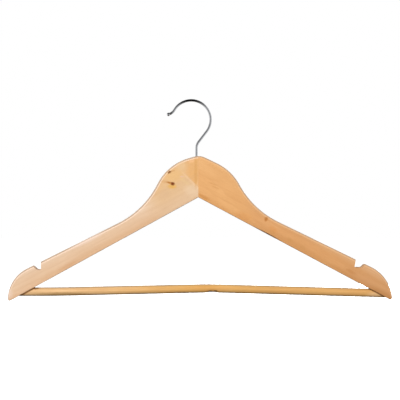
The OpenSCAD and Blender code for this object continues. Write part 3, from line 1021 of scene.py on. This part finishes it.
def bent_wire_places():
    """The wire from the crown up: shank, bend, straight run, round and outward lip."""
    lean_width = HOOK_R * cos(HOOK_LEAN) - SHANK_X - SHANK_BEND_R * (1 - cos(HOOK_LEAN))
    lean_len = lean_width / sin(HOOK_LEAN)
    round_z = WIRE_R - HOOK_R
    bend_z = (round_z - HOOK_R * sin(HOOK_LEAN) - lean_len * cos(HOOK_LEAN)
              - SHANK_BEND_R * sin(HOOK_LEAN))
    places = [(SHANK_X, CROWN_Z, -90), (SHANK_X, bend_z, -90)]
    places += arc_places(places[-1], SHANK_BEND_R, HOOK_LEAN, WIRE_BEND_STEP)
    places.append(run_end(places[-1], lean_len))
    places += arc_places(places[-1], HOOK_R, HOOK_OPEN - HOOK_LEAN - 180, WIRE_ROUND_STEP)
    return places + arc_places(places[-1], LIP_BEND_R, LIP_TURN - BALL_NECK_TURN, WIRE_BEND_STEP)


def ball_rings(neck):
    """The last of the lip, which runs straight here, and the ball on it, as (place, radius)."""
    reach = LIP_BEND_R * math.radians(BALL_NECK_TURN) + BALL_R
    smallest = 0.06
    rings = []
    for i in range(1, BALL_PARTS + 1):
        away = reach * sin(90 * i / BALL_PARTS)
        left = reach - away
        wire = WIRE_R if left > BALL_R else 0.0
        rings.append((run_end(neck, away), max(ball_profile(left), wire, smallest)))
    return rings


def build_hook():
    """One length of wire: barbed shank, bend, straight run, round, outward lip and ball."""
    wire = bent_wire_places()
    rings = shank_rings() + [(place, WIRE_R) for place in wire] + ball_rings(wire[-1])
    places = [place for place, _ in rings]
    radii = [radius - WIRE_RELIEF for _, radius in rings]
    return make_object("hook_wire", rod(places, radii, WIRE_SIDES))


def bar_places():
    """The bar's axis from left to right, with its two bends drawn out into gentle curves."""
    places = [(BAR_LEFT_X, bar_z(BAR_LEFT_X), 0)]
    span = BAR_BEND_SPAN
    lengths = [LEVEL_X - BAR_LEFT_X - span,
               (KNEE_X - LEVEL_X) / cos(BAR_FALL_LEFT) - 2 * span,
               (BAR_RIGHT_X - KNEE_X) / cos(BAR_FALL_RIGHT) - span]
    turns = [-BAR_FALL_LEFT, BAR_FALL_LEFT + BAR_FALL_RIGHT]
    for i, length in enumerate(lengths):
        places += run_places(places[-1], length, BAR_STEP)
        if i < len(turns):
            bend_r = span / tan(abs(turns[i]) / 2)
            places += arc_places(places[-1], bend_r, turns[i], BAR_BEND_STEP)
    return places


def bar_hollow(x, angle):
    """The hollow under the knot, as rod's shift: below 0 where the surface is drawn in."""
    near = math.exp(-((x - HOLLOW_X) / HOLLOW_HALF) ** 4)
    below = max(0.0, -sin(angle)) ** 3
    return -HOLLOW_DEPTH * near * below


def build_bar():
    """The dowel, with chamfered ends and the hollow under the knot at its knee."""
    places = bar_places()
    first, last = places[0], places[-1]
    chamfers = run_end(first, BAR_CHAMFER), run_end(last, -BAR_CHAMFER)
    places = [first, chamfers[0]] + places[1:-1] + [chamfers[1], last]
    radii = [BAR_R - BAR_CHAMFER] + [BAR_R] * (len(places) - 2) + [BAR_R - BAR_CHAMFER]
    return make_object("trouser_bar_dowel", rod(places, radii, BAR_SIDES, bar_hollow))


def build_brad(side):
    """A wire nail with a thin, slightly domed head just under the back face."""
    x, z = brad_place(side)
    profile = [(radius, HALF_T - depth) for radius, depth in BRAD_SHAPE]
    name = "left_brad_nail" if side < 0 else "right_brad_nail"
    return make_object(name, lathe_along_y(x, z, profile, BRAD_SIDES))


def dress(piece, material, node, body):
    """Gives a finished piece its material and its place on a body, and hides the CAD node it stands for.
    """
    piece.data.materials.clear()
    piece.data.materials.append(material)
    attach(piece, body)
    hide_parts(node)


def build_hanger():
    arms = build_arms()
    pale = wood_material("left_arm_wood", PALE, left_ground, LEFT_SPOTS, LEFT_KNOTS)
    honey = wood_material("right_arm_wood", HONEY, right_ground, RIGHT_SPOTS, RIGHT_KNOTS)
    dowel = wood_material("bar_wood", DOWEL, bar_ground, BAR_SPOTS, BAR_KNOTS, (LEFT, RIGHT))
    steel = brad_material()
    dress(arms["left_arm"], pale, "left_arm", "body")
    dress(arms["right_arm"], honey, "right_arm", "body")
    dress(build_bar(), dowel, "trouser_bar", "body")
    dress(build_hook(), chrome_material(), "hook", "hook")
    dress(build_brad(-1), steel, "left_brad", "body")
    dress(build_brad(1), steel, "right_brad", "body")


bpy.context.scene.view_settings.view_transform = "Standard"
add_camera()
add_world()
add_floor()
add_area_light("key", (-0.35, -1.7, 0.42), 0.9, 29.5)
add_area_light("back", (0.5, 1.7, -0.1), 0.9, 28)
add_area_light("top", (0.0, -0.1, 1.2), 0.6, 1.2)
build_hanger()
